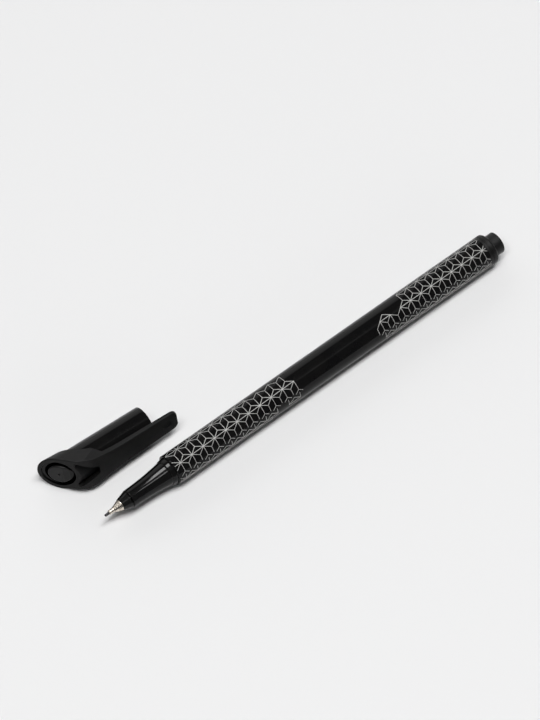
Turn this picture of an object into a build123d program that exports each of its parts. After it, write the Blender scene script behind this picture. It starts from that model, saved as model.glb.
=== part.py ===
"""Fineliner pen with a patterned straight barrel; its cap is off and lies beside the tip.

The pen lies along X with its nib towards -X, and the floor is the plane Z = 0. The origin is on
the floor under the middle of the barrel. The cap has axes of its own: it lies on the far side of
the tip, mouth towards +X, with its clip on the side of the pen.
"""
import os
from math import atan, degrees, radians, sin, tan

from build123d import *

os.makedirs("parts", exist_ok=True)

# Fits and cuts
fit_clearance = 0.05  # radial gap of pieces that are pushed together
seat_clearance = 0.1  # gap along the axis where a piece ends on its seat
cut_overrun = 3.0  # how far a cut passes beyond the face that it opens

# Barrel, a plain drawn tube
barrel_length = 111.0
barrel_radius = 4.5
barrel_wall = 0.7
barrel_front_round = 0.25
barrel_rear_round = 0.08

# Grip section: a spigot in the barrel, a collar in front of its rim, then a flared grip
spigot_length = 9.0
spigot_lead = 0.4
collar_radius = 3.95
collar_length = 1.5
collar_front_radius = 3.73
collar_taper_length = 1.1
collar_round = 0.17
collar_step = 0.42
collar_step_length = 0.3
grip_length = 14.1
grip_front_radius = 2.66
grip_flare_share = 0.47
grip_flare_radius = 2.97
grip_edge_round = 0.12
section_bore_radius = 1.7
section_chamber_radius = 2.9
section_chamber_depth = 11.0

# Nose cone, which holds the metal tip in the section
nose_length = 2.7
nose_base_radius = 2.52
nose_front_radius = 1.72
nose_gap = 0.22  # open ring between the section and the cone
nose_neck_radius = 2.25
nose_shank_length = 7.0
nose_edge_round = 0.1

# Metal tip: a turned cone that runs out into a needle tube
tip_cone_length = 2.3
tip_base_radius = 1.55
tip_tube_radius = 0.64
tip_tube_length = 1.35
tip_shoulder_length = 0.25
tip_shank_radius = 1.15
tip_shank_length = 5.0
tip_edge_round = 0.08
tip_throat_round = 0.9

# Fibre nib, a rod that reaches from the paper into the ink filler
nib_radius = 0.38
nib_reach = 1.45
nib_in_filler = 9.0

# Ink filler and the film wound round it
filler_radius = 3.4
film_thickness = 0.12

# Rear plug: a spigot in the barrel, a collar flush with it and a smaller stub
plug_spigot_length = 8.0
plug_collar_length = 2.6
plug_shoulder_round = 0.7
plug_groove_offset = 0.75
plug_groove_width = 0.22
plug_groove_depth = 0.2
plug_stub_radius = 3.2
plug_stub_length = 3.1
plug_stub_round = 0.22
plug_wall = 1.2

# Cap sleeve, the glossy tube
sleeve_radius = 4.5
sleeve_wall = 0.48
sleeve_step_lead = 0.2  # from the end of the wide stretch of the bore to the seal's lip
sleeve_step = 0.25  # how much narrower the bore is behind that stretch
sleeve_mouth_round = 0.12
sleeve_lead = 0.2

# Crown of the cap: a shell over the end of the sleeve, cut off on a slant
crown_wall = 0.75  # at the slanted face
crown_draft = 3.0  # degrees by which the crown closes in towards its skirt
crown_rim = 0.35  # thickness of the slanted end round its hole
crown_height = 28.4  # from the mouth to the slanted face, along the axis
crown_fall = 0.69  # how much the face falls for each millimetre towards the clip
crown_hole_radius = 4.15
crown_hole_offset = 0.3  # from the axis to the middle of the hole, away from the clip
skirt_drop = 6.0  # from the slanted face down to the skirt's edge, along the axis
skirt_fall = 1.0
skirt_corner_round = 0.4
lobe_height = 2.5  # tip of the lobe beside the slot, from the axis
lobe_drop = 9.3  # the same, down from the slanted face along the axis
lobe_root_height = 1.3

# Clip, moulded in one piece with the crown
clip_reach = 7.1  # how far the free end stands out past the mouth
clip_root_height = 6.7  # outer face at the root, from the axis
clip_end_height = 5.55  # outer face at the free end, from the axis
clip_root_thickness = 1.5
clip_end_thickness = 0.9
clip_slot_drop = 11.1  # from the slanted face down to the bottom of the slot under the clip
clip_end_width = 4.7
clip_neck_drop = 14.4  # from the slanted face down to where the clip stops closing in fast
clip_neck_width = 6.4
clip_neck_round = 60.0
clip_flare = 0.168  # how much the clip widens on each side for each millimetre above its neck
clip_lean = 13.0  # degrees by which the sides of the clip lean in towards its outer face
clip_corner_round = 1.9
clip_blend_radius = 7.5
skin_share = 0.6  # how squarely a face must look out to belong to the outer face
clip_edge_round = 0.25  # round of the rim that runs from the slanted face along the clip
dimple_length = 3.0
dimple_width = 1.7
dimple_depth = 0.18
dimple_offset = 3.6  # from the free end to the middle of the dimple

# Pocket in the root of the clip, a three-sided opening beside the round hole
pocket_floor = 0.25  # left standing over the sleeve
pocket_start = 4.9  # from the axis to the wide side, measured on the slanted face
pocket_end = 10.4  # from the axis to the narrow side
pocket_base_width = 9.0
pocket_tip_width = 2.2
pocket_depth = 5.6  # below the slanted face
pocket_corner_round = 0.6

# Inner seal: a cup that closes round the nose, carried by fins in the sleeve
seal_length = 16.4  # from the lip to the slanted face, along the axis
seal_lip_radius = 2.84
seal_wall = 0.5
seal_straight_length = 4.5
seal_taper_length = 4.5
seal_end_radius = 2.85
seal_end_wall = 1.5
seal_stand = 0.3  # how far the end of the cup stands out of the slanted face
seal_crease_offset = 1.3  # from the axis to the crease beyond which the end falls away
seal_crease_angle = 20.0  # degrees by which it does
seal_end_round = 0.4
end_share = 0.9  # how squarely a face must look out to belong to the end of the cup
seal_dimple_radius = 0.32
seal_dimple_depth = 0.3
fin_count = 4
fin_thickness = 0.8
fin_lead = 1.6  # from the lip to the fins
fin_length = 8.2

# Place of the cap on the floor, and its turns in degrees
cap_mouth_x = -50.5
cap_mouth_y = 16.55
cap_yaw = -2.4
cap_roll = 16.0  # how far the clip is turned up from level

# Places along the pen, worked out from the lengths
barrel_front = -barrel_length / 2
barrel_rear = barrel_length / 2
barrel_bore_radius = barrel_radius - barrel_wall
spigot_radius = barrel_bore_radius - fit_clearance
spigot_end = barrel_front + spigot_length
collar_front = barrel_front - collar_length
step_front = collar_front - collar_step_length
grip_front = barrel_front - grip_length
nose_base = grip_front - nose_gap
nose_front = nose_base - nose_length
cone_front = nose_front - tip_shoulder_length - tip_cone_length
tube_front = cone_front - tip_tube_length
nib_tip = tube_front - nib_reach
filler_front = spigot_end + seat_clearance
plug_front = barrel_rear - plug_spigot_length
filler_rear = plug_front - seat_clearance
plug_shoulder = barrel_rear + plug_collar_length
plug_end = plug_shoulder + plug_stub_length

pen_side = Plane(origin=(0, 0, barrel_radius), x_dir=(1, 0, 0), z_dir=(0, -1, 0))
pen_axis = Axis((0, 0, barrel_radius), (1, 0, 0))

# Heights in the cap, from its mouth
skirt_height = crown_height - skirt_drop
lobe_depth = crown_height - lobe_drop
clip_slot_depth = crown_height - clip_slot_drop
clip_neck_height = crown_height - clip_neck_drop
seal_lip_height = crown_height - seal_length
sleeve_mouth_depth = seal_lip_height - sleeve_step_lead

# Axes of the cap: it tips a little, because it lies on its mouth and on the rim of the crown's end
sleeve_bore_radius = sleeve_radius - sleeve_wall
seal_seat_radius = sleeve_bore_radius - sleeve_step
crown_bore_radius = sleeve_radius + fit_clearance
crown_radius = crown_bore_radius + crown_wall
draft_slope = tan(radians(crown_draft))
rest_height = crown_height + crown_radius * sin(radians(cap_roll)) * crown_fall - clip_edge_round
rest_radius = crown_radius + (rest_height - crown_height) * draft_slope
cap_pitch = degrees(atan((rest_radius - sleeve_radius) / rest_height))
mouth_dir = Vector(1, 0, 0).rotate(Axis.Y, cap_pitch).rotate(Axis.Z, cap_yaw)
clip_dir = Vector(0, -1, 0).rotate(Axis.X, -cap_roll).rotate(Axis.Y, cap_pitch).rotate(Axis.Z, cap_yaw)
crown_dir = -mouth_dir
mouth_centre = Vector(cap_mouth_x, cap_mouth_y, sleeve_radius)

# Planes of the cap: across the axis, through axis and clip, and seen from the clip's side
cap_across = Plane(origin=mouth_centre, x_dir=clip_dir, z_dir=crown_dir)
cap_side = Plane(origin=mouth_centre, x_dir=clip_dir, z_dir=clip_dir.cross(crown_dir))
cap_plan = Plane(origin=mouth_centre, x_dir=crown_dir, z_dir=clip_dir)
cap_axis = Axis(mouth_centre, crown_dir)
cap_side_axis = Axis(mouth_centre, cap_side.z_dir)

# Plane of the slanted face: its X runs down towards the clip
fall_angle = degrees(atan(crown_fall))
face_plane = Plane(
    origin=mouth_centre + crown_dir * crown_height,
    x_dir=clip_dir.rotate(cap_side_axis, -fall_angle),
    z_dir=crown_dir.rotate(cap_side_axis, -fall_angle),
)
clip_corner = crown_height - clip_root_height * crown_fall
clip_rise = (clip_root_height - clip_end_height) / (clip_corner + clip_reach)
skin_dir = clip_dir.rotate(cap_side_axis, fall_angle)


def rims(builder: BuildPart) -> ShapeList[Edge]:
    """Full circles among the edges of the piece so far."""
    return builder.edges().filter_by(GeomType.CIRCLE).filter_by(lambda edge: edge.is_closed)


def outline(faces: ShapeList[Face]) -> ShapeList[Edge]:
    """Edges round a patch of faces, without the edges that two of the faces share."""
    edges = [edge for face in faces for edge in face.edges()]
    return ShapeList(edge for edge in edges if sum(edge.is_same(other) for other in edges) == 1)


with BuildPart() as barrel:
    with BuildSketch(pen_side):
        with BuildLine():
            Polyline(
                (barrel_front, barrel_bore_radius),
                (barrel_front, barrel_radius),
                (barrel_rear, barrel_radius),
                (barrel_rear, barrel_bore_radius),
                close=True,
            )
        make_face()
    revolve(axis=pen_axis)
    fillet(rims(barrel).group_by(SortBy.RADIUS)[-1].sort_by(Axis.X)[0], barrel_front_round)
    fillet(rims(barrel).group_by(SortBy.RADIUS)[-1].sort_by(Axis.X)[-1], barrel_rear_round)

with BuildPart() as grip_section:
    with BuildSketch(pen_side):
        with BuildLine():
            Polyline(
                (grip_front, 0),
                (grip_front, grip_front_radius),
            )
            ThreePointArc(
                (grip_front, grip_front_radius),
                (barrel_front - grip_length * grip_flare_share, grip_flare_radius),
                (step_front, collar_radius - collar_step),
            )
            Polyline(
                (step_front, collar_radius - collar_step),
                (collar_front, collar_radius - collar_step),
                (collar_front, collar_front_radius),
                (collar_front + collar_taper_length, collar_radius),
                (barrel_front, collar_radius),
                (barrel_front, spigot_radius),
                (spigot_end - spigot_lead, spigot_radius),
                (spigot_end, spigot_radius - spigot_lead),
                (spigot_end, 0),
                (grip_front, 0),
            )
        make_face()
    revolve(axis=pen_axis)
    with BuildSketch(pen_side):
        with BuildLine():
            Polyline(
                (grip_front - cut_overrun, 0),
                (grip_front - cut_overrun, section_bore_radius),
                (spigot_end - section_chamber_depth, section_bore_radius),
                (spigot_end - section_chamber_depth + section_chamber_radius - section_bore_radius,
                 section_chamber_radius),
                (spigot_end + cut_overrun, section_chamber_radius),
                (spigot_end + cut_overrun, 0),
                close=True,
            )
        make_face()
    revolve(axis=pen_axis, mode=Mode.SUBTRACT)
    collar_rims = rims(grip_section).filter_by_position(Axis.X, step_front, collar_front + collar_step_length)
    fillet(collar_rims.sort_by(SortBy.RADIUS)[-1], collar_round)
    fillet(rims(grip_section).group_by(Axis.X)[0].sort_by(SortBy.RADIUS)[-1], grip_edge_round)

with BuildPart() as nose_cone:
    with BuildSketch(pen_side):
        with BuildLine():
            Polyline(
                (nose_front, 0),
                (nose_front, nose_front_radius),
                (nose_base, nose_base_radius),
                (nose_base, nose_neck_radius),
                (grip_front, nose_neck_radius),
                (grip_front, section_bore_radius - fit_clearance),
                (grip_front + nose_shank_length, section_bore_radius - fit_clearance),
                (grip_front + nose_shank_length, 0),
                close=True,
            )
        make_face()
    revolve(axis=pen_axis)
    with BuildSketch(pen_side):
        with BuildLine():
            Polyline(
                (nose_front - cut_overrun, 0),
                (nose_front - cut_overrun, tip_shank_radius + fit_clearance),
                (grip_front + nose_shank_length + cut_overrun, tip_shank_radius + fit_clearance),
                (grip_front + nose_shank_length + cut_overrun, 0),
                close=True,
            )
        make_face()
    revolve(axis=pen_axis, mode=Mode.SUBTRACT)
    fillet(rims(nose_cone).group_by(Axis.X)[0].sort_by(SortBy.RADIUS)[-1], nose_edge_round)

with BuildPart() as tip_sleeve:
    with BuildSketch(pen_side):
        with BuildLine():
            Polyline(
                (tube_front, nib_radius + fit_clearance),
                (tube_front, tip_tube_radius),
                (cone_front, tip_tube_radius),
                (nose_front - tip_shoulder_length, tip_base_radius),
                (nose_front, tip_base_radius),
                (nose_front, tip_shank_radius),
                (nose_front + tip_shank_length, tip_shank_radius),
                (nose_front + tip_shank_length, nib_radius + fit_clearance),
                close=True,
            )
        make_face()
    revolve(axis=pen_axis)
    fillet(rims(tip_sleeve).group_by(Axis.X)[1].sort_by(SortBy.RADIUS)[-1], tip_throat_round)
    fillet(rims(tip_sleeve).group_by(Axis.X)[0].sort_by(SortBy.RADIUS)[-1], tip_edge_round)

with BuildPart() as fibre_nib:
    with BuildSketch(pen_side):
        with BuildLine():
            Polyline(
                (nib_tip, 0),
                (filler_front + nib_in_filler, 0),
                (filler_front + nib_in_filler, nib_radius),
                (nib_tip + nib_radius, nib_radius),
            )
            CenterArc((nib_tip + nib_radius, 0), nib_radius, start_angle=90, arc_size=90)
        make_face()
    revolve(axis=pen_axis)

with BuildPart() as ink_filler:
    with BuildSketch(pen_side):
        with BuildLine():
            Polyline(
                (filler_front, nib_radius + fit_clearance),
                (filler_front, filler_radius),
                (filler_rear, filler_radius),
                (filler_rear, 0),
                (filler_front + nib_in_filler + seat_clearance, 0),
                (filler_front + nib_in_filler + seat_clearance, nib_radius + fit_clearance),
                close=True,
            )
        make_face()
    revolve(axis=pen_axis)

with BuildPart() as filler_film:
    with BuildSketch(pen_side):
        with BuildLine():
            Polyline(
                (filler_front, filler_radius + fit_clearance),
                (filler_front, filler_radius + fit_clearance + film_thickness),
                (filler_rear, filler_radius + fit_clearance + film_thickness),
                (filler_rear, filler_radius + fit_clearance),
                close=True,
            )
        make_face()
    revolve(axis=pen_axis)

with BuildPart() as rear_plug:
    with BuildSketch(pen_side):
        with BuildLine():
            groove_front = barrel_rear + plug_groove_offset
            Polyline(
                (plug_front, 0),
                (plug_front, spigot_radius - spigot_lead),
                (plug_front + spigot_lead, spigot_radius),
                (barrel_rear, spigot_radius),
                (barrel_rear, barrel_radius),
                (groove_front, barrel_radius),
                (groove_front, barrel_radius - plug_groove_depth),
                (groove_front + plug_groove_width, barrel_radius - plug_groove_depth),
                (groove_front + plug_groove_width, barrel_radius),
                (plug_shoulder, barrel_radius),
                (plug_shoulder, plug_stub_radius),
                (plug_end, plug_stub_radius),
                (plug_end, 0),
                close=True,
            )
        make_face()
    revolve(axis=pen_axis)
    with BuildSketch(pen_side):
        with BuildLine():
            Polyline(
                (plug_front - cut_overrun, 0),
                (plug_front - cut_overrun, plug_stub_radius - plug_wall),
                (plug_end - plug_wall, plug_stub_radius - plug_wall),
                (plug_end - plug_wall, 0),
                close=True,
            )
        make_face()
    revolve(axis=pen_axis, mode=Mode.SUBTRACT)
    fillet(rims(rear_plug).group_by(Axis.X)[-1], plug_stub_round)
    fillet(rims(rear_plug).group_by(SortBy.RADIUS)[-1].sort_by(Axis.X)[-1], plug_shoulder_round)

with BuildPart() as cap_sleeve:
    with BuildSketch(cap_side):
        with BuildLine():
            Polyline(
                (sleeve_bore_radius + sleeve_lead, 0),
                (sleeve_radius, 0),
                (sleeve_radius, crown_height + crown_radius),
                (seal_seat_radius, crown_height + crown_radius),
                (seal_seat_radius, sleeve_mouth_depth),
                (sleeve_bore_radius, sleeve_mouth_depth),
                (sleeve_bore_radius, sleeve_lead),
                close=True,
            )
        make_face()
    revolve(axis=cap_axis)
    split(bisect_by=face_plane.offset(-crown_rim - seat_clearance), keep=Keep.BOTTOM)
    fillet(rims(cap_sleeve).group_by(SortBy.RADIUS)[-1].sort_by(cap_axis)[0], sleeve_mouth_round)

# Cutter for the inside of the crown: the sleeve's seat up to the rim, then the round hole
with BuildPart() as seat_cutter:
    with BuildSketch(cap_across.offset(-clip_reach - cut_overrun)):
        Circle(crown_bore_radius)
    extrude(amount=clip_reach + crown_height + crown_radius + 2 * cut_overrun)
    split(bisect_by=face_plane.offset(-crown_rim), keep=Keep.BOTTOM)
    with BuildSketch(cap_across):
        with Locations((-crown_hole_offset, 0)):
            Circle(crown_hole_radius)
    extrude(amount=crown_height + crown_radius + cut_overrun)

# Cutter for the pocket: three-sided, straight down from the slanted face, clear of the sleeve
with BuildPart() as pocket_cutter:
    with BuildSketch(face_plane.offset(cut_overrun)):
        with BuildLine():
            Polyline(
                (pocket_start, -pocket_base_width / 2),
                (pocket_end, -pocket_tip_width / 2),
                (pocket_end, pocket_tip_width / 2),
                (pocket_start, pocket_base_width / 2),
                close=True,
            )
        make_face()
        fillet(vertices(), pocket_corner_round)
    extrude(amount=-pocket_depth - cut_overrun)
    with BuildSketch(cap_across):
        Circle(crown_bore_radius + pocket_floor)
    extrude(amount=crown_height + crown_radius + cut_overrun, mode=Mode.SUBTRACT)

with BuildPart() as cap_crown:
    # Across the axis the moulding is a horseshoe: round at the back, straight towards the clip
    with BuildSketch(cap_across.offset(-clip_reach)):
        end_radius = crown_radius - (crown_height + clip_reach) * draft_slope
        Circle(end_radius)
        with Locations((clip_root_height, 0)):
            Rectangle(2 * clip_root_height, 2 * end_radius)
    extrude(amount=clip_reach + crown_height + crown_radius + cut_overrun, taper=-crown_draft)
    # From the side: slanted face, round blend into the clip's outer face, slot, lobe and skirt
    with BuildSketch(cap_side):
        back_height = crown_radius + cut_overrun
        with BuildLine():
            FilletPolyline(
                (-back_height, crown_height + back_height * crown_fall),
                (clip_root_height, clip_corner),
                (clip_end_height, -clip_reach),
                radius=clip_blend_radius,
            )
            Line((clip_end_height, -clip_reach), (clip_end_height - clip_end_thickness, -clip_reach))
            FilletPolyline(
                (clip_end_height - clip_end_thickness, -clip_reach),
                (clip_root_height - clip_root_thickness, clip_slot_depth),
                (lobe_height, lobe_depth),
                (lobe_root_height, skirt_height - lobe_root_height * skirt_fall),
                (-back_height, skirt_height + back_height * skirt_fall),
                radius=skirt_corner_round,
            )
            Line(
                (-back_height, skirt_height + back_height * skirt_fall),
                (-back_height, crown_height + back_height * crown_fall),
            )
        make_face()
    extrude(amount=2 * crown_radius, both=True, mode=Mode.INTERSECT)
    # From outside: the clip closes in, fast as far as its neck, to a round free end
    with BuildSketch(cap_plan.offset(clip_root_height)):
        crown_top = crown_height + crown_radius + cut_overrun
        top_width = clip_neck_width + 2 * (crown_top - clip_neck_height) * clip_flare
        with BuildLine():
            Polyline(
                (crown_top, -top_width / 2),
                (clip_neck_height, -clip_neck_width / 2),
                (-clip_reach, -clip_end_width / 2),
                (-clip_reach, clip_end_width / 2),
                (clip_neck_height, clip_neck_width / 2),
                (crown_top, top_width / 2),
                close=True,
            )
        make_face()
        fillet(vertices().group_by(Axis.X)[1], clip_neck_round)
        fillet(vertices().group_by(Axis.X)[0], clip_corner_round)
    extrude(amount=-clip_root_height - crown_radius - cut_overrun, taper=-clip_lean, mode=Mode.INTERSECT)
    # One soft rim runs round the slanted face and the clip's outer face
    skin = cap_crown.faces().filter_by(lambda face: face.normal_at().dot(skin_dir) > skin_share)
    fillet(outline(skin), clip_edge_round)
    # Seat of the sleeve, round hole in the face, and the pocket
    add(seat_cutter.part, mode=Mode.SUBTRACT)
    add(pocket_cutter.part, mode=Mode.SUBTRACT)
    # Shallow oval dimple near the free end
    dimple_height = clip_end_height + clip_rise * dimple_offset
    with BuildSketch(cap_plan.offset(dimple_height - dimple_depth)):
        with Locations((dimple_offset - clip_reach, 0)):
            Ellipse(dimple_length / 2, dimple_width / 2)
    extrude(amount=dimple_depth + cut_overrun, mode=Mode.SUBTRACT)

with BuildPart() as cap_seal:
    seal_taper_start = seal_lip_height + seal_straight_length
    seal_taper_end = seal_taper_start + seal_taper_length
    seal_lowest_end = crown_height - seal_end_radius * crown_fall
    seal_outer_radius = seal_lip_radius + seal_wall
    with BuildSketch(cap_side):
        with BuildLine():
            Polyline(
                (seal_lip_radius, seal_lip_height),
                (seal_outer_radius, seal_lip_height),
                (seal_outer_radius, seal_taper_start),
                (seal_end_radius, seal_taper_end),
                (seal_end_radius, crown_height + crown_radius),
                (0, crown_height + crown_radius),
                (0, seal_lowest_end - seal_end_wall),
                (seal_end_radius - seal_wall, seal_lowest_end - seal_end_wall),
                (seal_end_radius - seal_wall, seal_taper_end),
                (seal_lip_radius, seal_taper_start),
                close=True,
            )
        make_face()
    revolve(axis=cap_axis)
    end_plane = face_plane.offset(seal_stand)
    crease_plane = Plane(
        origin=end_plane.origin + end_plane.x_dir * seal_crease_offset,
        x_dir=end_plane.x_dir.rotate(cap_side_axis, -seal_crease_angle),
        z_dir=end_plane.z_dir.rotate(cap_side_axis, -seal_crease_angle),
    )
    split(bisect_by=end_plane, keep=Keep.BOTTOM)
    split(bisect_by=crease_plane, keep=Keep.BOTTOM)
    end_faces = cap_seal.faces().filter_by(lambda face: face.normal_at().dot(end_plane.z_dir) > end_share)
    fillet(outline(end_faces), seal_end_round)
    with BuildSketch(end_plane.offset(-seal_dimple_depth)):
        Circle(seal_dimple_radius)
    extrude(amount=seal_dimple_depth + cut_overrun, mode=Mode.SUBTRACT)
    for turn in range(fin_count):
        fin_dir = clip_dir.rotate(cap_axis, turn * 360 / fin_count)
        with BuildSketch(Plane(origin=mouth_centre, x_dir=fin_dir, z_dir=fin_dir.cross(crown_dir))):
            with BuildLine():
                Polyline(
                    (seal_lip_radius + seal_wall / 2, seal_lip_height + fin_lead),
                    (seal_seat_radius - fit_clearance, seal_lip_height + fin_lead),
                    (seal_seat_radius - fit_clearance, seal_lip_height + fin_lead + fin_length),
                    (seal_end_radius - seal_wall / 2, seal_lip_height + fin_lead + fin_length),
                    (seal_end_radius - seal_wall / 2, seal_taper_end),
                    (seal_lip_radius + seal_wall / 2, seal_taper_start),
                    close=True,
                )
            make_face()
        extrude(amount=fin_thickness / 2, both=True)

for piece, name in (
    (barrel, "barrel"),
    (grip_section, "grip_section"),
    (nose_cone, "nose_cone"),
    (tip_sleeve, "tip_sleeve"),
    (fibre_nib, "fibre_nib"),
    (ink_filler, "ink_filler"),
    (filler_film, "filler_film"),
    (rear_plug, "rear_plug"),
    (cap_sleeve, "cap_sleeve"),
    (cap_crown, "cap_crown"),
    (cap_seal, "cap_seal"),
):
    piece.part.label = name
    export_step(piece.part, f"parts/{name}.step")
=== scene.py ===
"""Looks of a fineliner pen that lies beside its cap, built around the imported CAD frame.

The frame's pieces keep their shapes and get procedural finishes. The silver hemp-leaf print at both
ends of the barrel is made here, as thin bars of ink laid round the tube. The pen's lengths are
written in millimetres and turned into metres with MM, and the studio's are in metres.
"""
from __future__ import annotations

import logging
import math
from dataclasses import dataclass
from enum import Enum
from typing import Any

import bpy
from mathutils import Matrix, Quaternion, Vector

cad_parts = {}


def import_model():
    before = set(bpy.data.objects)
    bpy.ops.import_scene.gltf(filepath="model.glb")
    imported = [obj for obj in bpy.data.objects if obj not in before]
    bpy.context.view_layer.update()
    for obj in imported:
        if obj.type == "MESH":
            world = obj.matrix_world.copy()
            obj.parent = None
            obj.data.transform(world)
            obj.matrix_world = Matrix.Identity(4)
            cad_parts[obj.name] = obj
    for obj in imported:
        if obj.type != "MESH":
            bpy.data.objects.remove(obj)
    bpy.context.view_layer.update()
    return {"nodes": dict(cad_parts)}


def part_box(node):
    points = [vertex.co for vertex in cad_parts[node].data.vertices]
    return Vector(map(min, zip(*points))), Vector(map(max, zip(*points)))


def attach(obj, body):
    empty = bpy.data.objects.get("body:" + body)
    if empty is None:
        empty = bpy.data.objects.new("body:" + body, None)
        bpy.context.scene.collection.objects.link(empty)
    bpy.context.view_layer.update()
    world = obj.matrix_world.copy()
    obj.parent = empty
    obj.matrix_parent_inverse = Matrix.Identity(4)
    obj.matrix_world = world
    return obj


LOG = logging.getLogger("fineliner")
MM = 0.001

Triple = tuple[float, float, float]
Colour = Triple


class Wire:
    """An output socket in a node tree that can be used in sums like a number."""

    def __init__(self, graph: Graph, socket: bpy.types.NodeSocket) -> None:
        """Keeps the socket and the graph that it belongs to."""
        self.graph = graph
        self.socket = socket

    def _math(self, operation: str, *values: Wire | float) -> Wire:
        """Adds a Math node.

        Args:
            operation: Name of the operation, as the node calls it.
            values: Its operands, wires or numbers.

        Returns:
            The node's value.
        """
        return self.graph.node("ShaderNodeMath", {"operation": operation}, dict(enumerate(values)))

    def __add__(self, other: Wire | float) -> Wire:
        """Sum."""
        return self._math("ADD", self, other)

    def __radd__(self, other: float) -> Wire:
        """Sum with a number in front."""
        return self._math("ADD", other, self)

    def __sub__(self, other: Wire | float) -> Wire:
        """Difference."""
        return self._math("SUBTRACT", self, other)

    def __rsub__(self, other: float) -> Wire:
        """Difference from a number."""
        return self._math("SUBTRACT", other, self)

    def __mul__(self, other: Wire | float) -> Wire:
        """Product."""
        return self._math("MULTIPLY", self, other)

    def __rmul__(self, other: float) -> Wire:
        """Product with a number in front."""
        return self._math("MULTIPLY", other, self)

    def __truediv__(self, other: Wire | float) -> Wire:
        """Quotient."""
        return self._math("DIVIDE", self, other)

    def __rtruediv__(self, other: float) -> Wire:
        """A number divided by this value."""
        return self._math("DIVIDE", other, self)

    def __mod__(self, other: Wire | float) -> Wire:
        """Remainder, never negative."""
        return self._math("FLOORED_MODULO", self, other)

    def __gt__(self, other: Wire | float) -> Wire:
        """One where this value is larger, else zero."""
        return self._math("GREATER_THAN", self, other)

    def __lt__(self, other: Wire | float) -> Wire:
        """One where this value is smaller, else zero."""
        return self._math("LESS_THAN", self, other)

    def function(self, operation: str, *others: Wire | float) -> Wire:
        """Any other operation of the Math node, with this value as its first operand."""
        return self._math(operation, self, *others)

    def clamped(self) -> Wire:
        """This value held between zero and one."""
        return self._math("MINIMUM", self._math("MAXIMUM", self, 0.0), 1.0)


class Graph:
    """A node tree that is written node by node."""

    def __init__(self, tree: bpy.types.NodeTree) -> None:
        """Starts from an empty tree."""
        self.tree = tree
        tree.nodes.clear()

    def node(
        self,
        kind: str,
        settings: dict[str, Any] | None = None,
        inputs: dict[int | str, Any] | None = None,
        output: int | str = 0,
    ) -> Wire:
        """Adds one node.

        Args:
            kind: Type name of the node.
            settings: Properties of the node, set first. The key stops holds a ramp's stops, as
                pairs of place and grey value.
            inputs: Values or wires for its sockets, by name or number.
            output: The output that is wanted, by name or number.

        Returns:
            That output.
        """
        made = self.tree.nodes.new(kind)
        for key, value in (settings or {}).items():
            if key == "stops":
                self._set_stops(made.color_ramp, value)
            else:
                setattr(made, key, value)
        for key, value in (inputs or {}).items():
            if isinstance(value, Wire):
                self.tree.links.new(value.socket, made.inputs[key])
            else:
                made.inputs[key].default_value = value
        return Wire(self, made.outputs[output] if made.outputs else None)

    @staticmethod
    def _set_stops(ramp: bpy.types.ColorRamp, stops: list[tuple[float, float]]) -> None:
        """Gives a colour ramp its grey stops.

        Args:
            ramp: The ramp.
            stops: Two or more pairs of place and grey value.
        """
        while len(ramp.elements) < len(stops):
            ramp.elements.new(1.0)
        for element, (place, grey) in zip(ramp.elements, stops):
            element.position = place
            element.color = (grey, grey, grey, 1.0)

    def places(self, stretch: Triple = (1.0, 1.0, 1.0)) -> Wire:
        """Object coordinates, stretched along each axis."""
        coordinates = self.node("ShaderNodeTexCoord", output="Object")
        return self.node("ShaderNodeMapping", inputs={"Vector": coordinates, "Scale": stretch})

    def noise(self, vector: Wire, feature: float, detail: float = 2.0) -> Wire:
        """Noise from zero to one.

        Args:
            vector: Where the noise is read.
            feature: Size of its features in millimetres.
            detail: How many finer layers are laid over it.

        Returns:
            The noise value.
        """
        inputs = {"Vector": vector, "Scale": 1.0 / (feature * MM), "Detail": detail}
        return self.node("ShaderNodeTexNoise", inputs=inputs)

    def ramp(self, value: Wire, black: float, white: float) -> Wire:
        """A value sent through a grey ramp.

        Args:
            value: The value.
            black: Where the ramp leaves zero.
            white: Where it reaches one.

        Returns:
            The grey value.
        """
        stops = [(black, 0.0), (white, 1.0)]
        return self.node("ShaderNodeValToRGB", {"stops": stops}, {"Fac": value})

    def vector_math(
        self, operation: str, *values: Wire | Triple, output: int | str = "Value"
    ) -> Wire:
        """Adds a Vector Math node.

        Args:
            operation: Name of the operation, as the node calls it.
            values: Its operands, wires or vectors.
            output: Value or Vector, as the operation gives.

        Returns:
            That output.
        """
        inputs = dict(enumerate(values))
        return self.node("ShaderNodeVectorMath", {"operation": operation}, inputs, output)

    def tint(self, factor: Wire, first: Colour | Wire, second: Colour) -> Wire:
        """A colour between two others.

        Args:
            factor: Zero for the first colour, one for the second.
            first: The first colour.
            second: The second colour.

        Returns:
            The mixed colour.
        """
        start = first if isinstance(first, Wire) else (*first, 1.0)
        inputs = {0: factor, 6: start, 7: (*second, 1.0)}
        return self.node("ShaderNodeMix", {"data_type": "RGBA"}, inputs, 2)

    def bump(self, height: Wire, depth: float) -> Wire:
        """A normal from a height.

        Args:
            height: Height from zero to one.
            depth: Depth of the relief in millimetres.

        Returns:
            The bumped normal.
        """
        return self.node("ShaderNodeBump", inputs={
            "Height": height, "Distance": depth * MM, "Strength": 1.0})


def new_material(name: str, colour: Colour) -> tuple[bpy.types.Material, Graph]:
    """Makes an empty node material.

    Args:
        name: Name of the material.
        colour: Its colour in the viewport.

    Returns:
        The material and the graph of its nodes.
    """
    material = bpy.data.materials.new(name)
    material.use_nodes = True
    material.diffuse_color = (*colour, 1.0)
    return material, Graph(material.node_tree)


def close_surface(graph: Graph, inputs: dict[int | str, Any]) -> None:
    """Ends a material in a Principled shader with the given inputs."""
    shader = graph.node("ShaderNodeBsdfPrincipled", inputs=inputs)
    graph.node("ShaderNodeOutputMaterial", inputs={"Surface": shader})


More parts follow.
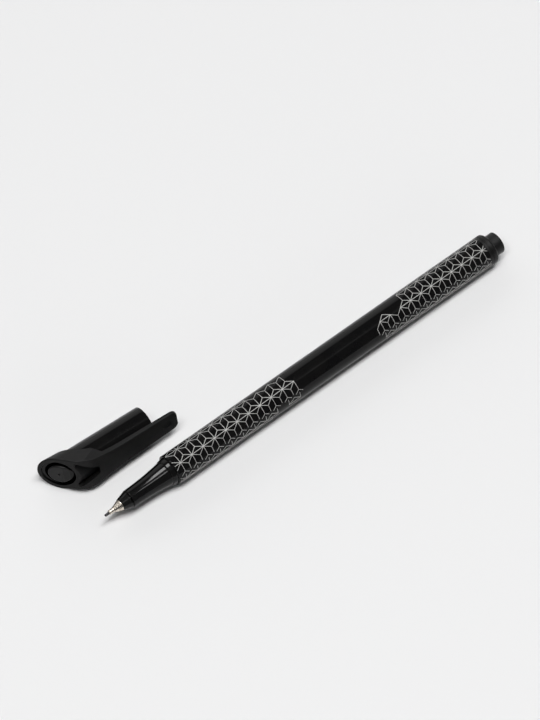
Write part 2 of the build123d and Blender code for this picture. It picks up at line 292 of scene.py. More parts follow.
@dataclass(frozen=True)
class Recess:
    """A round recess that opens in a face, in millimetres, where a piece gets painted shade.

    What lies nearer to its axis than the radius, and further below the face than the depth, is in
    it. The edge is the width over which it fades in.
    """

    middle: Triple
    axis: Triple
    face: Triple
    radius: float
    depth: float
    edge: float = 0.1

    # Where painted shade is laid on a piece
    def mask(self, graph: Graph) -> Wire:
        """Where the recess is on a piece.

        Args:
            graph: The graph of the piece's material.

        Returns:
            One in the recess, else zero.
        """
        middle = tuple(part * MM for part in self.middle)
        offset = graph.vector_math("SUBTRACT", graph.places(), middle, output="Vector")
        below = graph.vector_math("DOT_PRODUCT", offset, self.face) * -1.0
        along = graph.vector_math("DOT_PRODUCT", offset, self.axis)
        length = graph.vector_math("LENGTH", offset)
        radius = (length * length - along * along).function("SQRT")
        deep = (below - self.depth * MM) / (self.edge * MM)
        near = (self.radius * MM - radius) / (self.edge * MM)
        return deep.clamped() * near.clamped()


@dataclass(frozen=True)
class MouldedPlastic:
    """A black moulded or drawn plastic, glossy or satin by its numbers.

    Smudge and scratch are what these add to the roughness. Sizes are in millimetres.
    """

    name: str
    shade: Colour
    worn_shade: Colour
    roughness: float
    smudge: float
    scratch: float
    refraction: float
    grain_size: float
    grain_depth: float
    mottle_size: float = 6.0
    smudge_size: float = 3.5
    scratch_width: float = 0.12
    scratch_stretch: Triple = (0.06, 1.0, 1.0)
    # Painted shade: near-black colour laid into a recess where shade falls, and the roughness there
    painted_recess_shade: Colour = (0.0008, 0.0008, 0.0008)
    recess_roughness: float = 0.12

    def build(self, recess: Recess | None = None) -> bpy.types.Material:
        """Makes the material: mottled black, handling smudges, hair scratches and a fine grain.

        Args:
            recess: A recess in the piece, which gets painted shade and is more polished than the
                rest.

        Returns:
            The material.
        """
        material, graph = new_material(self.name, self.shade)
        places = graph.places()
        mottle = graph.noise(places, self.mottle_size, detail=4.0)
        mottle = graph.ramp(mottle, black=0.3, white=0.7)
        smudges = graph.noise(places, self.smudge_size, detail=5.0)
        smudges = graph.ramp(smudges, black=0.42, white=0.68)
        hairs = graph.noise(graph.places(self.scratch_stretch), self.scratch_width, detail=1.0)
        hairs = graph.ramp(hairs, black=0.66, white=0.74)
        grain = graph.noise(places, self.grain_size)
        rough = self.roughness + smudges * self.smudge + hairs * smudges * self.scratch
        colour = graph.tint(mottle, self.shade, self.worn_shade)
        # Painted shade: the recess is darkened where shade falls in it, and made glossier
        if recess:
            shaded_recess = recess.mask(graph)
            rough = rough * (1.0 - shaded_recess) + shaded_recess * self.recess_roughness
            colour = graph.tint(shaded_recess, colour, self.painted_recess_shade)
        close_surface(graph, {
            "Base Color": colour,
            "Roughness": rough,
            "IOR": self.refraction,
            "Normal": graph.bump(grain, self.grain_depth),
        })
        return material


@dataclass(frozen=True)
class TurnedMetal:
    """Bright metal with the fine rings that a lathe leaves, in millimetres.

    The rings wander by an angle in radians, and wander and stain add to the roughness.
    """

    name: str
    shade: Colour
    dull_shade: Colour
    roughness: float
    ring_pitch: float
    ring_depth: float
    wander_size: float = 0.09
    wander_stretch: Triple = (1.0, 0.05, 0.05)
    wander_turn: float = 4.0
    wander_roughness: float = 0.1
    stain_size: float = 0.8
    stain_roughness: float = 0.08

    def build(self) -> bpy.types.Material:
        """Makes the material, with its rings across the length of the pen.

        Returns:
            The material.
        """
        material, graph = new_material(self.name, self.shade)
        places = graph.places()
        along = graph.node("ShaderNodeSeparateXYZ", inputs={0: places}, output="X")
        wander = graph.noise(graph.places(self.wander_stretch), self.wander_size, detail=3.0)
        phase = along * (math.tau / (self.ring_pitch * MM)) + wander * self.wander_turn
        rings = phase.function("SINE") * 0.5 + 0.5
        stain = graph.noise(places, self.stain_size, detail=3.0)
        stain = graph.ramp(stain, black=0.4, white=0.75)
        rough = self.roughness + wander * self.wander_roughness + stain * self.stain_roughness
        close_surface(graph, {
            "Base Color": graph.tint(stain, self.shade, self.dull_shade),
            "Metallic": 1.0,
            "Roughness": rough,
            "Normal": graph.bump(rings, self.ring_depth),
        })
        return material


@dataclass(frozen=True)
class FibreRod:
    """Bundled fibre, wet with ink, with its strands along the pen.

    The wet patches and the relief are sized by the strands, whose width is in millimetres.
    """

    name: str
    shade: Colour
    strand_shade: Colour
    strand_size: float
    wet_roughness: float
    strand_stretch: Triple = (0.08, 1.0, 1.0)
    strand_roughness: float = 0.25
    patch_share: float = 8.0
    patch_gloss: float = 0.15
    relief_share: float = 0.3

    def build(self) -> bpy.types.Material:
        """Makes the material, matt where a strand is dry and glossier where it is wet.

        Returns:
            The material.
        """
        material, graph = new_material(self.name, self.shade)
        strands = graph.noise(graph.places(self.strand_stretch), self.strand_size, detail=3.0)
        wet = graph.noise(graph.places(), self.strand_size * self.patch_share)
        rough = self.wet_roughness + strands * self.strand_roughness - wet * self.patch_gloss
        close_surface(graph, {
            "Base Color": graph.tint(strands, self.shade, self.strand_shade),
            "Roughness": rough,
            "Normal": graph.bump(strands, self.strand_size * self.relief_share),
        })
        return material


@dataclass(frozen=True)
class PrintedInk:
    """Silver printing ink: a pale grey with fine flakes in it, in millimetres."""

    name: str
    shade: Colour
    flake_shade: Colour
    metallic: float
    roughness: float
    flake_size: float = 0.05
    flake_depth: float = 0.002
    flake_gloss: float = 0.08
    wear_size: float = 1.6
    wear_roughness: float = 0.15

    def build(self) -> bpy.types.Material:
        """Makes the material, a little duller where it is worn.

        Returns:
            The material.
        """
        material, graph = new_material(self.name, self.shade)
        places = graph.places()
        flakes = graph.noise(places, self.flake_size, detail=1.0)
        flakes = graph.ramp(flakes, black=0.35, white=0.65)
        worn = graph.noise(places, self.wear_size, detail=4.0)
        worn = graph.ramp(worn, black=0.3, white=0.8)
        rough = self.roughness + worn * self.wear_roughness - flakes * self.flake_gloss
        close_surface(graph, {
            "Base Color": graph.tint(flakes, self.shade, self.flake_shade),
            "Metallic": self.metallic,
            "Roughness": rough,
            "Normal": graph.bump(flakes, self.flake_depth),
        })
        return material


@dataclass(frozen=True)
class ClearFilm:
    """The thin film wound round the ink filler, a little clouded, in millimetres."""

    name: str
    shade: Colour
    stained_shade: Colour
    roughness: float = 0.12
    opacity: float = 0.35
    cloud_size: float = 4.0
    cloud_stretch: Triple = (0.3, 1.0, 1.0)
    cloud_roughness: float = 0.2
    cloud_opacity: float = 0.3

    def build(self) -> bpy.types.Material:
        """Makes the material, partly see-through.

        Returns:
            The material.
        """
        material, graph = new_material(self.name, self.shade)
        cloud = graph.noise(graph.places(self.cloud_stretch), self.cloud_size, detail=3.0)
        close_surface(graph, {
            "Base Color": graph.tint(cloud, self.shade, self.stained_shade),
            "Roughness": self.roughness + cloud * self.cloud_roughness,
            "Alpha": self.opacity + cloud * self.cloud_opacity,
        })
        return material


class Finish(Enum):
    """The finishes of the pen's pieces."""

    BARREL = MouldedPlastic(
        "barrel_gloss", (0.0042, 0.0042, 0.0044), (0.0062, 0.006, 0.0058), roughness=0.07,
        smudge=0.05, scratch=0.12, refraction=1.26, grain_size=0.9, grain_depth=0.0006)
    SECTION = MouldedPlastic(
        "section_gloss", (0.0048, 0.0047, 0.0048), (0.0066, 0.0065, 0.0064), roughness=0.08,
        smudge=0.02, scratch=0.04, refraction=1.28, grain_size=0.7, grain_depth=0.0004)
    NOSE = MouldedPlastic(
        "nose_gloss", (0.006, 0.006, 0.006), (0.009, 0.009, 0.009), roughness=0.12,
        smudge=0.06, scratch=0.1, refraction=1.32, grain_size=0.4, grain_depth=0.0008)
    SLEEVE = MouldedPlastic(
        "sleeve_gloss", (0.0042, 0.0042, 0.0044), (0.0062, 0.006, 0.0058), roughness=0.08,
        smudge=0.05, scratch=0.12, refraction=1.27, grain_size=0.8, grain_depth=0.0006)
    CROWN = MouldedPlastic(
        "crown_satin", (0.0062, 0.0062, 0.0064), (0.009, 0.0088, 0.0087), roughness=0.42,
        smudge=0.08, scratch=0.1, refraction=1.25, grain_size=0.11, grain_depth=0.003)
    PLUG = MouldedPlastic(
        "plug_satin", (0.0055, 0.0055, 0.0055), (0.0085, 0.0083, 0.0081), roughness=0.34,
        smudge=0.1, scratch=0.1, refraction=1.3, grain_size=0.12, grain_depth=0.003)
    SEAL = MouldedPlastic(
        "seal_satin", (0.007, 0.007, 0.0072), (0.01, 0.0098, 0.0097), roughness=0.42,
        smudge=0.06, scratch=0.05, refraction=1.32, grain_size=0.15, grain_depth=0.003)
    TIP = TurnedMetal(
        "tip_metal", (0.76, 0.7, 0.61), (0.54, 0.48, 0.41), roughness=0.2,
        ring_pitch=0.06, ring_depth=0.0012)
    NIB = FibreRod(
        "nib_fibre", (0.006, 0.006, 0.007), (0.018, 0.018, 0.021),
        strand_size=0.06, wet_roughness=0.45)
    FILLER = FibreRod(
        "filler_fibre", (0.02, 0.02, 0.025), (0.06, 0.06, 0.075),
        strand_size=0.12, wet_roughness=0.6)
    FILM = ClearFilm("filler_film", (0.8, 0.82, 0.84), (0.35, 0.36, 0.4))
    INK = PrintedInk(
        "silver_ink", (0.3, 0.3, 0.292), (0.4, 0.398, 0.385), metallic=0.25, roughness=0.48)


def dress(node: bpy.types.Object, finish: Finish, recess: Recess | None = None) -> None:
    """Gives a CAD piece its finish.

    Args:
        node: The piece.
        finish: The finish that it gets.
        recess: A recess in a moulded piece, which gets painted shade.
    """
    material = finish.value.build(recess) if recess else finish.value.build()
    for slot in node.material_slots:
        slot.material = material
    LOG.info("%s: %s", node.name, material.name)


class RowUse(Enum):
    """Which rows of the print a line belongs to.

    The two sides of the print meet at a seam, which cuts off the seam row; the edge row is the one
    below it. Each value holds rows, counted from the seam row, and whether these or all others are
    meant.
    """

    SEAM = ((0,), True)
    OFF_SEAM = ((0,), False)
    EDGE = ((-1,), True)
    OFF_EDGE = ((-1,), False)
    OFF_BOTH = ((0, -1), False)


Step = tuple[float, int]


@dataclass(frozen=True)
class BarSpan:
    """One printed line of the pattern, seen from a grid point.

    Places are shares of the pitch along the pen and of the row distance round it. The start is the
    end that lies further from the rim. The line is there where one of the grid points in stars is
    printed, or where the stray star lies at one of those in beside. These are given in pitches
    away from the rim and in rows.
    """

    start: tuple[float, float]
    end: tuple[float, float]
    stars: tuple[Step, ...]
    use: RowUse
    beside: tuple[Step, ...] = ()


# Where the sides of three leaves meet between the stars, as shares of the row distance
LOW_MEET = 1 / 3
HIGH_MEET = 2 / 3
UPPER_STARS = ((0.0, 0), (1.0, 0), (0.5, 1))
LOWER_STARS = ((0.0, 0), (-0.5, 1), (0.5, 1))
STRAY_BELOW = ((0.5, -1),)
STRAY_AHEAD = ((1.0, 0),)
STRAY_NEAR = ((1.0, 0), (-1.0, 0))
HEMP_LEAF = (
    # Line through the stars of a row
    BarSpan((1.0, 0.0), (0.0, 0.0), UPPER_STARS, RowUse.OFF_SEAM, STRAY_BELOW),
    # Leaf sides that meet between two stars of this row and one of the next
    BarSpan((0.5, LOW_MEET), (0.0, 0.0), UPPER_STARS, RowUse.OFF_SEAM, STRAY_BELOW),
    BarSpan((1.0, 0.0), (0.5, LOW_MEET), UPPER_STARS, RowUse.OFF_SEAM, STRAY_BELOW),
    BarSpan((0.5, 1.0), (0.5, LOW_MEET), UPPER_STARS, RowUse.OFF_EDGE),
    # Leaf sides that meet between one star of this row and two of the next
    BarSpan((0.0, HIGH_MEET), (0.0, 0.0), LOWER_STARS, RowUse.OFF_BOTH),
    BarSpan((0.5, 1.0), (0.0, HIGH_MEET), LOWER_STARS, RowUse.OFF_EDGE, STRAY_AHEAD),
    BarSpan((0.0, HIGH_MEET), (-0.5, 1.0), LOWER_STARS, RowUse.OFF_EDGE, STRAY_NEAR),
    # Leaf sides that the seam cuts short
    BarSpan((0.5, LOW_MEET), (0.2, 0.133), UPPER_STARS, RowUse.SEAM),
    BarSpan((0.8, 0.133), (0.5, LOW_MEET), UPPER_STARS, RowUse.SEAM),
    BarSpan((0.0, HIGH_MEET), (0.0, 0.24), LOWER_STARS, RowUse.SEAM, STRAY_NEAR),
    BarSpan((0.0, 0.42), (0.0, 0.0), LOWER_STARS, RowUse.EDGE),
)


class PrintTree:
    """Geometry Nodes that lay the hemp-leaf print round a tube, from one of its rims inwards."""

    FLOATS = (
        "Rim", "Direction", "Turn", "Twist", "Seam Turn", "Radius", "Axis Height", "Pitch",
        "First Star", "Rim Margin", "Island", "Last Point", "Line Width", "Line Height",
        "Line Sink")
    INTEGERS = ("Columns", "Seam Row", "Slack Row", "Island Row")
    # Each line of the pattern lies this much higher than the last, so that no faces coincide
    LAYER = 0.0015 * MM
    # By how much a line is longer than the way between its ends
    OVERLAP_SHARE = 0.06
    # Points along a line, which let it follow the tube
    BAR_POINTS = 8
    # How far below the seam row, in rows, the edge row ends
    SEAM_SHARE = 0.2
    # Share of a line that has to be clear of the rim
    LEAST_SHARE = 0.04
    # How near to the island's place the stray star lies, in pitches
    STRAY_SHARE = 0.4
    # Whole numbers that differ by less than this are the same
    SAME_ROW = 0.5

    def __init__(self, rows: int) -> None:
        """Builds the tree.

        Args:
            rows: Number of rows of stars round the tube.
        """
        self.rows = rows
        self.tree = bpy.data.node_groups.new("hemp_leaf_print", "GeometryNodeTree")
        self.graph = Graph(self.tree)
        self.identifiers: dict[str, str] = {}
        for name in (*self.FLOATS, *(self.depth_name(row) for row in range(rows))):
            self._add_input(name, "NodeSocketFloat")
        for name in self.INTEGERS:
            self._add_input(name, "NodeSocketInt")
        self._add_input("Ink", "NodeSocketMaterial")
        self.tree.interface.new_socket(
            "Geometry", in_out="OUTPUT", socket_type="NodeSocketGeometry")
        self.entry = self.graph.node("NodeGroupInput").socket.node
        self._build()

    @staticmethod
    def depth_name(row: int) -> str:
        """Name of the input that says how far in a row reaches."""
        return f"Depth {row}"

    def _add_input(self, name: str, kind: str) -> None:
        """Adds a named input and keeps its identifier."""
        made = self.tree.interface.new_socket(name, in_out="INPUT", socket_type=kind)
        self.identifiers[name] = made.identifier

    def value(self, name: str) -> Wire:
        """The wire of a named input."""
        return Wire(self.graph, self.entry.outputs[name])

    def _vector(self, x: Wire | float, y: Wire | float, z: Wire | float) -> Wire:
        """A vector from its three parts."""
        return self.graph.node("ShaderNodeCombineXYZ", inputs={0: x, 1: y, 2: z})

    def _position(self) -> tuple[Wire, Wire, Wire]:
        """The place of the point that is looked at.

        Returns:
            Its three parts.
        """
        place = self.graph.node("GeometryNodeInputPosition")
        parts = self.graph.node("ShaderNodeSeparateXYZ", inputs={0: place}).socket.node.outputs
        return Wire(self.graph, parts[0]), Wire(self.graph, parts[1]), Wire(self.graph, parts[2])

    def _choice(self, value: Wire, operation: str, limit: float) -> Wire:
        """Yes or no, by comparing a value with a limit."""
        settings = {"data_type": "FLOAT", "operation": operation}
        return self.graph.node("FunctionNodeCompare", settings, {0: value, 1: limit})

    def _build(self) -> None:
        """Lays the grid, sets a bar on each of its points for every line, and wraps them round."""
        graph = self.graph
        pitch = self.value("Pitch")
        columns = self.value("Columns")
        row_step = self.value("Radius") * (math.tau / self.rows)
        grid = graph.node("GeometryNodeMeshGrid", inputs={
            "Size X": (columns - 1.0) * pitch,
            "Size Y": row_step * (self.rows - 1.0),
            "Vertices X": columns,
            "Vertices Y": self.rows,
        })
        along, across, _ = self._position()
        row = (across / row_step + (self.rows - 1.0) * 0.5).function("ROUND")
        first = self.value("First Star") - pitch + (columns - 1.0) * pitch * 0.5
        inward = along + first + (row % 2.0) * pitch * 0.5
        placed = graph.node("GeometryNodeSetPosition", inputs={
            "Geometry": grid, "Position": self._vector(inward, row * row_step, 0.0)})
        line = graph.node("GeometryNodeMeshCube", inputs={
            "Size": (1.0 + self.OVERLAP_SHARE, 1.0, 1.0), "Vertices X": self.BAR_POINTS})
        line = graph.node("GeometryNodeTransform", inputs={
            "Geometry": line, "Translation": (0.5, 0.0, 0.0)})
        joined = graph.node("GeometryNodeJoinGeometry")
        for layer, span in enumerate(HEMP_LEAF):
            bars = self._bars(placed, line, span, layer, row_step)
            self.tree.links.new(bars.socket, joined.socket.node.inputs[0])
        whole = graph.node("GeometryNodeRealizeInstances", inputs={0: joined})
        whole = self._wrapped(whole)
        whole = graph.node("GeometryNodeSetMaterial", inputs={
            "Geometry": whole, "Material": self.value("Ink")})
        graph.node("NodeGroupOutput", inputs={0: whole})

    def _bars(self, points: Wire, line: Wire, span: BarSpan, layer: int, row_step: Wire) -> Wire:
        """Sets one line of the pattern at every grid point.

        Args:
            points: The grid, with distance from the rim in X and way round the tube in Y.
            line: A bar of unit length along X.
            span: Where the line starts and ends.
            layer: Number of the line, which also sets it a hair higher than the last.
            row_step: Distance between rows.

        Returns:
            The bars as instances.
        """
        graph = self.graph
        pitch = self.value("Pitch")
        thickness = self.value("Line Height")
        run = pitch * (span.end[0] - span.start[0])
        climb = row_step * (span.end[1] - span.start[1])
        height = thickness * 0.5 - self.value("Line Sink") + layer * self.LAYER
        start = self._vector(pitch * span.start[0], row_step * span.start[1], height)
        moved = graph.node("GeometryNodeSetPosition", inputs={"Geometry": points, "Offset": start})
        inward, around, _ = self._position()
        room = inward - self.value("Rim Margin")
        if span.start[0] == span.end[0]:
            share = room > 0.0
        else:
            share = (room / (run * -1.0)).clamped()
        row = (around / row_step - span.start[1]).function("ROUND")
        kept = self._is_printed(span, inward - pitch * span.start[0], row)
        length = (run * run + climb * climb).function("SQRT")
        return graph.node("GeometryNodeInstanceOnPoints", inputs={
            "Points": moved,
            "Selection": self._choice(kept * share, "GREATER_THAN", self.LEAST_SHARE),
            "Instance": line,
            "Rotation": self._vector(0.0, 0.0, climb.function("ARCTAN2", run)),
            "Scale": self._vector(length * share, self.value("Line Width"), thickness),
        })

    def _is_printed(self, span: BarSpan, inward: Wire, row: Wire) -> Wire:
        """One where a line is printed, else zero.

        Args:
            span: The line.
            inward: Distance of its grid point from the rim.
            row: Row of its grid point.

        Returns:
            The choice as a number.
        """
        kept, *others = (
            *(self._has_star(*self._stepped(inward, row, step)) for step in span.stars),
            *(self._is_stray(*self._stepped(inward, row, step)) for step in span.beside),
        )
        for other in others:
            kept = kept.function("MAXIMUM", other)
        rows, alone = span.use.value
        for steps in rows:
            named = row.function("COMPARE", self.value("Seam Row") + steps, self.SAME_ROW)
            kept = kept * (named if alone else 1.0 - named)
        return kept * (inward < self.value("Last Point"))

    def _stepped(self, inward: Wire, row: Wire, step: Step) -> tuple[Wire, Wire]:
        """The grid point that lies some pitches and rows away from another.

        Args:
            inward: Distance of the other grid point from the rim.
            row: Its row.
            step: How many pitches and rows away.

        Returns:
            Distance from the rim, and row.
        """
        pitches, rows = step
        return inward + self.value("Pitch") * pitches, (row + rows) % self.rows

    def _has_star(self, inward: Wire, row: Wire) -> Wire:
        """One where a star is within the depth of its row or is the stray one, else zero.

        Args:
            inward: Distance of the star from the rim.
            row: Its row.

        Returns:
            The choice as a number.
        """
        made = self.graph.node("GeometryNodeIndexSwitch", {"data_type": "FLOAT"}).socket.node
        while len(made.index_switch_items) < self.rows:
            made.index_switch_items.new()
        self.tree.links.new(row.socket, made.inputs[0])
        for index in range(self.rows):
            depth = self.value(self.depth_name(index))
            self.tree.links.new(depth.socket, made.inputs[1 + index])
        shaded_recess = inward < Wire(self.graph, made.outputs[0])
        return shaded_recess.function("MAXIMUM", self._is_stray(inward, row))

    def _is_stray(self, inward: Wire, row: Wire) -> Wire:
        """One at the stray star, which lies further in than its row reaches, else zero.

        Args:
            inward: Distance of the grid point from the rim.
            row: Its row.

        Returns:
            The choice as a number.
        """
        near = self.value("Pitch") * self.STRAY_SHARE
        in_row = row.function("COMPARE", self.value("Island Row"), self.SAME_ROW)
        return in_row * inward.function("COMPARE", self.value("Island"), near)

    def _wrapped(self, flat: Wire) -> Wire:
        """Rolls the flat print round the tube, and turns its faces out again at the mirrored end.

        The edge row is drawn up to the seam, and the rows behind the slack row make room for that.

        Args:
            flat: The print, with distance from the rim in X and way round the tube in Y.

        Returns:
            The print on the tube.
        """
        inward, around, height = self._position()
        direction = self.value("Direction")
        radius = self.value("Radius")
        slack_row = self.value("Slack Row")
        row = around / (radius * (math.tau / self.rows))
        at_edge = row < self.value("Seam Row") - self.SEAM_SHARE
        behind = ((row - slack_row) / (self.rows - slack_row)).clamped()
        angle = self.value("Turn") + self.value("Twist") * inward + around / radius
        angle = angle + self.value("Seam Turn") * at_edge.function("MAXIMUM", behind)
        reach = radius + height
        rolled = self._vector(
            self.value("Rim") + direction * inward,
            angle.function("COSINE") * reach * -1.0,
            angle.function("SINE") * reach + self.value("Axis Height"),
        )
        whole = self.graph.node("GeometryNodeSetPosition", inputs={
            "Geometry": flat, "Position": rolled})
        return self.graph.node("GeometryNodeFlipFaces", inputs={
            "Mesh": whole, "Selection": self._choice(direction, "LESS_THAN", 0.0)})

    def bake(self, name: str, values: dict[str, Any]) -> bpy.types.Object:
        """Runs the tree once and keeps its result as a plain mesh.

        Args:
            name: Name of the new piece.
            values: A value for each named input.

        Returns:
            The piece, at the origin.
        """
        holder = bpy.data.objects.new(name, bpy.data.meshes.new(name))
        bpy.context.scene.collection.objects.link(holder)
        modifier = holder.modifiers.new("print", "NODES")
        modifier.node_group = self.tree
        for key, value in values.items():
            modifier[self.identifiers[key]] = value
        evaluated = holder.evaluated_get(bpy.context.evaluated_depsgraph_get())
        mesh = bpy.data.meshes.new_from_object(evaluated)
        holder.modifiers.remove(modifier)
        holder.data = mesh
        mesh.name = name
        return holder


@dataclass(frozen=True)
class PrintEnd:
    """The print at one end of the barrel, in millimetres and degrees.

    The turn is that of the facing row at the rim, the twist how much the rows turn per millimetre,
    and the seam turn how far the edge row is drawn up to the seam. The depths say how far in each
    row reaches. The island is the distance of the stray star from the rim, and no line starts from
    a grid point beyond the last point.
    """

    name: str
    at_front: bool
    pitch: float
    first_star: float
    turn: float
    twist: float
    seam_turn: float
    depths: tuple[float, ...]
    island_row: int
    island: float
    last_point: float


@dataclass
class Barrel:
    """The straight tube and the silver print at both of its ends, in millimetres."""

    nodes: dict[str, bpy.types.Object]
    radius: float = 4.5
    rows: int = 7
    facing_row: int = 2
    seam_row: int = 1
    spare_columns: int = 4
    line_width: float = 0.15
    line_height: float = 0.05
    line_sink: float = 0.04
    rim_margin: float = 0.28
    ends: tuple[PrintEnd, ...] = (
        PrintEnd(
            "print_front", at_front=True, pitch=4.0, first_star=2.2, turn=63.0, twist=0.19,
            seam_turn=35.0, depths=(31.0, 33.0, 39.0, 22.0, 30.0, 31.0, 33.0),
            island_row=1, island=40.2, last_point=42.5),
        PrintEnd(
            "print_rear", at_front=False, pitch=3.68, first_star=1.5, turn=68.2, twist=0.0,
            seam_turn=36.0, depths=(35.0, 29.5, 28.0, 26.0, 25.0, 27.0, 33.0),
            island_row=1, island=36.4, last_point=60.0),
    )

    def build(self) -> None:
        """Dresses the tube and prints both ends."""
        dress(self.nodes["barrel"], Finish.BARREL)
        tree = PrintTree(self.rows)
        ink = Finish.INK.value.build()
        for end in self.ends:
            piece = tree.bake(end.name, self._values(end, ink))
            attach(piece, "pen")
            LOG.info("%s: %d faces", end.name, len(piece.data.polygons))

    def _values(self, end: PrintEnd, ink: bpy.types.Material) -> dict[str, Any]:
        """Inputs of the print tree for one end.

        Args:
            end: The end that is printed.
            ink: Material of the print.

        Returns:
            A value for each input.
        """
        low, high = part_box("barrel")
        row_turn = 360.0 / self.rows
        values = {
            "Rim": low.x if end.at_front else high.x,
            "Direction": 1.0 if end.at_front else -1.0,
            "Turn": math.radians(end.turn - self.facing_row * row_turn),
            "Twist": math.radians(end.twist) / MM,
            "Seam Turn": math.radians(end.seam_turn),
            "Radius": self.radius * MM,
            "Axis Height": (low.z + high.z) / 2,
            "Pitch": end.pitch * MM,
            "First Star": end.first_star * MM,
            "Rim Margin": self.rim_margin * MM,
            "Island": end.island * MM,
            "Last Point": end.last_point * MM,
            "Line Width": self.line_width * MM,
            "Line Height": self.line_height * MM,
            "Line Sink": self.line_sink * MM,
            "Columns": int(max(*end.depths, end.island) / end.pitch) + self.spare_columns,
            "Seam Row": self.seam_row,
            "Slack Row": self.facing_row + 1,
            "Island Row": end.island_row,
            "Ink": ink,
        }
        for row, depth in enumerate(end.depths):
            values[PrintTree.depth_name(row)] = depth * MM
        return values


@dataclass
class WritingEnd:
    """Grip section, nose cone, metal tip, nib and the ink store behind them."""

    nodes: dict[str, bpy.types.Object]
    # Painted shade: the nose cone is darkened where it goes into the section, for the groove's
    # shade
    nose_joint: Recess = Recess(
        middle=(-70.12, 0.0, 4.5), axis=(1.0, 0.0, 0.0), face=(-1.0, 0.0, 0.0),
        radius=9.0, depth=0.0)

    def build(self) -> None:
        """Dresses each piece, with painted shade on the nose cone where it goes into the section.
        """
        dress(self.nodes["grip_section"], Finish.SECTION)
        dress(self.nodes["nose_cone"], Finish.NOSE, self.nose_joint)
        dress(self.nodes["tip_sleeve"], Finish.TIP)
        dress(self.nodes["fibre_nib"], Finish.NIB)
        dress(self.nodes["ink_filler"], Finish.FILLER)
        dress(self.nodes["filler_film"], Finish.FILM)


@dataclass
class RearEnd:
    """The plug that closes the barrel."""

    nodes: dict[str, bpy.types.Object]

    def build(self) -> None:
        """Dresses the plug."""
        dress(self.nodes["rear_plug"], Finish.PLUG)


@dataclass
class Cap:
    """The cap that lies beside the tip: sleeve, crown with clip, and inner seal, in millimetres.

    The mouth is the middle of its open end and the axis points out of it. The crown's slanted face
    falls towards the clip's side, by the slope that is its fall.
    """

    nodes: dict[str, bpy.types.Object]
    mouth: Triple = (-50.5, 16.55, 4.5)
    axis: Triple = (0.998709, -0.041858, -0.028787)
    clip_side: Triple = (-0.032326, -0.960751, 0.275523)
    crown_height: float = 28.4
    crown_fall: float = 0.69
    hole_radius: float = 4.5
    bore_radius: float = 4.3
    rim_depth: float = 0.12
    seal_depth: float = 0.25

    def build(self) -> None:
        """Dresses each piece, with painted shade inside the hole in the crown's slanted face."""
        # Painted shade: the hole's wall, the sleeve's inside and the seal's side are darkened where
        # shade falls
        dress(self.nodes["cap_sleeve"], Finish.SLEEVE, self._hole(self.bore_radius, 0.0))
        dress(self.nodes["cap_crown"], Finish.CROWN, self._hole(self.hole_radius, self.rim_depth))
        dress(self.nodes["cap_seal"], Finish.SEAL, self._hole(self.hole_radius, self.seal_depth))

    def _hole(self, radius: float, depth: float) -> Recess:
        """The hole in the slanted face, where painted shade is laid.

        Args:
            radius: Radius within which a surface belongs to it.
            depth: Depth below the face at which it starts.

        Returns:
            The hole as a recess.
        """
        axis = Vector(self.axis)
        middle = Vector(self.mouth) - axis * self.crown_height
        face = (Vector(self.clip_side) * self.crown_fall - axis).normalized()
        return Recess(tuple(middle), tuple(axis), tuple(face), radius, depth)


class Reach(Enum):
    """What a lamp adds to: everything, the light and shadow alone, or the gloss alone."""

    ALL = 0
    SHADE = 1
    GLOSS = 2


@dataclass(frozen=True)
class Panel:
    """A flat lamp of even brightness, in metres, turned about its aim by degrees."""

    name: str
    centre: Triple
    aim: Triple
    width: float
    height: float
    radiance: float
    turn: float = 0.0
    reach: Reach = Reach.ALL

    def build(self) -> None:
        """Makes the lamp; its power follows from its brightness and its size."""
        lamp = bpy.data.lights.new(self.name, "AREA")
        lamp.shape = "RECTANGLE"
        lamp.size = self.width
        lamp.size_y = self.height
        lamp.energy = self.radiance * math.pi * self.width * self.height
        holder = bpy.data.objects.new(self.name, lamp)
        bpy.context.scene.collection.objects.link(holder)
        holder.location = self.centre
        towards = Vector(self.aim) - Vector(self.centre)
        aimed = towards.to_track_quat("-Z", "Y")
        turned = Quaternion((0.0, 0.0, 1.0), math.radians(self.turn))
        holder.rotation_euler = (aimed @ turned).to_euler()
        holder.visible_camera = False
        holder.visible_diffuse = self.reach is not Reach.GLOSS
        holder.visible_glossy = self.reach is not Reach.SHADE


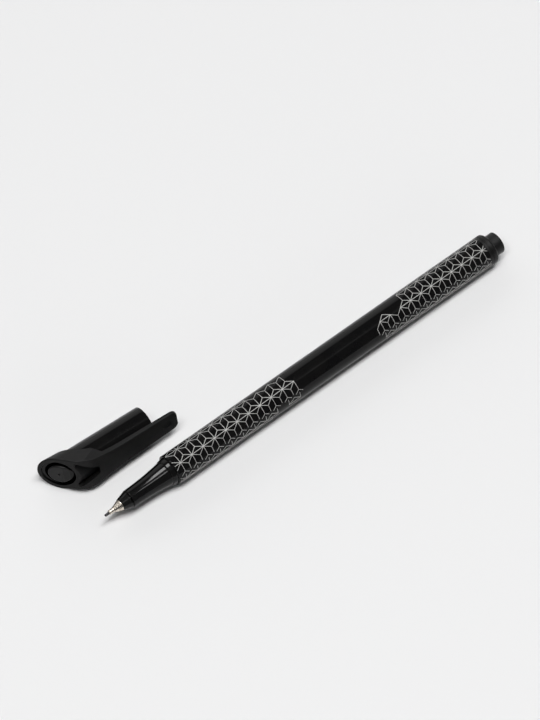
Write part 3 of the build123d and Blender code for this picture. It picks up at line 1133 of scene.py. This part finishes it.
@dataclass
class Studio:
    """Pale floor, soft lamps, dim room and the camera, in metres and degrees.

    The camera's aim, a place on the pen, and the grain of the floor are in millimetres.
    """

    floor_size: float = 30.0
    floor_shade: Colour = (0.82, 0.82, 0.82)
    floor_lift: float = 1.01
    floor_grain: float = 0.8
    floor_roughness: float = 0.9
    floor_gloss: float = 0.1
    room_shade: Colour = (0.045, 0.045, 0.048)
    azimuth: float = -40.3
    elevation: float = 55.0
    distance: float = 1.7
    lens: float = 315.2
    far_limit: float = 100.0
    aim: Triple = (-12.79, 8.89, 6.90)
    panels: tuple[Panel, ...] = (
        Panel("key_strip", (-0.35, -0.42, 3.0), (-0.35, -0.42, 0.0),
              width=3.4, height=1.1, radiance=8.5, reach=Reach.SHADE),
        Panel("front_fill", (-0.8, -3.2, 0.6), (0.0, 0.0, 0.0),
              width=3.0, height=1.0, radiance=1.9, reach=Reach.SHADE),
        Panel("side_softbox", (0.2, 0.217, 3.0), (0.2, 0.217, 0.0),
              width=0.9, height=2.9, radiance=16.0, turn=10.6, reach=Reach.GLOSS),
        Panel("front_softbox", (-0.95, -0.75, 3.0), (-0.95, -0.75, 0.0),
              width=1.2, height=0.7, radiance=8.0, reach=Reach.GLOSS),
        Panel("ridge_strip", (1.5, -0.75, 3.0), (1.5, -0.75, 0.0),
              width=0.7, height=1.0, radiance=0.95),
        Panel("far_card", (1.5, 3.9, 1.86), (1.2, 0.0, 0.9),
              width=7.8, height=3.6, radiance=0.9),
    )

    def build(self) -> None:
        """Sets up the whole studio."""
        self._floor()
        self._room()
        for panel in self.panels:
            panel.build()
        self._camera()
        bpy.context.scene.view_settings.view_transform = "Standard"

    def _floor(self) -> None:
        """A large pale sheet under the pen."""
        half = self.floor_size / 2
        mesh = bpy.data.meshes.new("floor")
        corners = [(-half, -half, 0.0), (half, -half, 0.0), (half, half, 0.0), (-half, half, 0.0)]
        mesh.from_pydata(corners, [], [(0, 1, 2, 3)])
        floor = bpy.data.objects.new("floor", mesh)
        bpy.context.scene.collection.objects.link(floor)
        material, graph = new_material("pale_floor", self.floor_shade)
        grain = graph.noise(graph.places(), self.floor_grain)
        lighter = tuple(part * self.floor_lift for part in self.floor_shade)
        close_surface(graph, {
            "Base Color": graph.tint(grain, self.floor_shade, lighter),
            "Roughness": self.floor_roughness,
            "Specular IOR Level": self.floor_gloss,
        })
        mesh.materials.append(material)

    def _room(self) -> None:
        """A dim, even room round the lamps."""
        world = bpy.data.worlds.new("room")
        world.use_nodes = True
        graph = Graph(world.node_tree)
        glow = graph.node("ShaderNodeBackground", inputs={
            "Color": (*self.room_shade, 1.0), "Strength": 1.0})
        graph.node("ShaderNodeOutputWorld", inputs={"Surface": glow})
        bpy.context.scene.world = world

    def _camera(self) -> None:
        """The camera at the photograph's angle."""
        data = bpy.data.cameras.new("camera")
        data.lens = self.lens
        data.clip_end = self.far_limit
        camera = bpy.data.objects.new("camera", data)
        bpy.context.scene.collection.objects.link(camera)
        turn = math.radians(self.azimuth)
        rise = math.radians(self.elevation)
        level = math.cos(rise)
        back = Vector((math.sin(turn) * level, -math.cos(turn) * level, math.sin(rise)))
        camera.location = Vector(self.aim) * MM + back * self.distance
        camera.rotation_euler = (-back).to_track_quat("-Z", "Y").to_euler()
        bpy.context.scene.camera = camera


def main() -> None:
    """Builds the pen, its cap and the studio, and logs each part as it is built."""
    logging.basicConfig(level=logging.INFO, format="%(name)s: %(message)s")
    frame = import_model()
    nodes = frame["nodes"]
    for part in (Barrel(nodes), WritingEnd(nodes), RearEnd(nodes), Cap(nodes), Studio()):
        part.build()
        LOG.info("built: %s", type(part).__name__)


if __name__ == "__main__":
    main()
